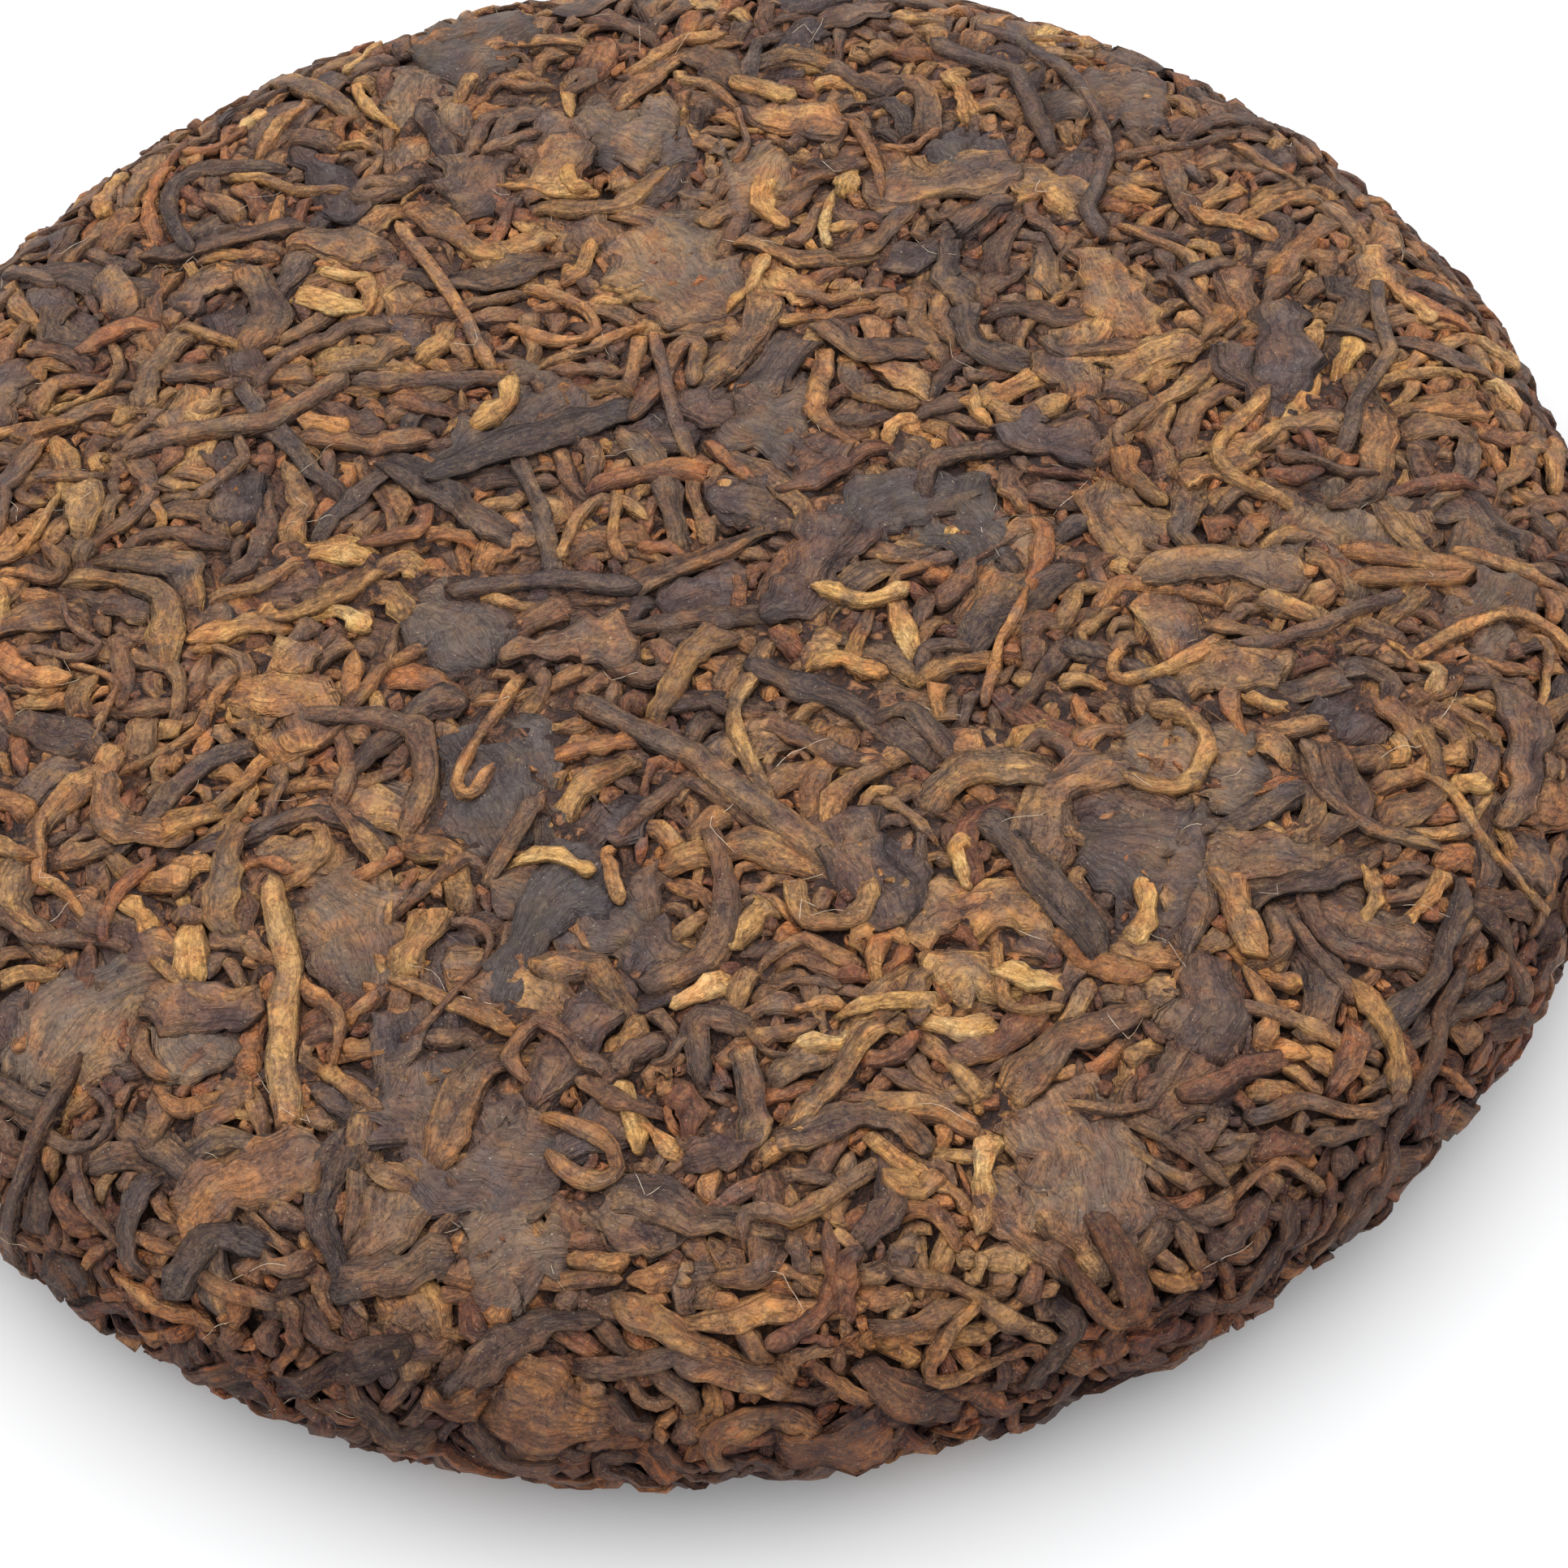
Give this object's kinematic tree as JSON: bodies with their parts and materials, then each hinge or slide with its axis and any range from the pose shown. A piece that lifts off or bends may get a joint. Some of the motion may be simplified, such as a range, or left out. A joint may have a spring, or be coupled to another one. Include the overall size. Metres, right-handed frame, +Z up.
{
  "type": "pu erh tea cake",
  "caption": "Round, low cake of pressed dark tea leaves with a domed top, a rounded rim and a dimpled base.",
  "frame": {"origin": "centre of the resting plane", "axes": "+Z up along the disc's axis, away from the table; X and Y lie in the resting plane"},
  "size_m": [0.109, 0.1094, 0.0165],
  "materials": {
    "pressed_tea_leaf": "matte"
  },
  "bodies": {
    "root": {"tea_cake": "pressed_tea_leaf"}
  },
  "joints": []
}
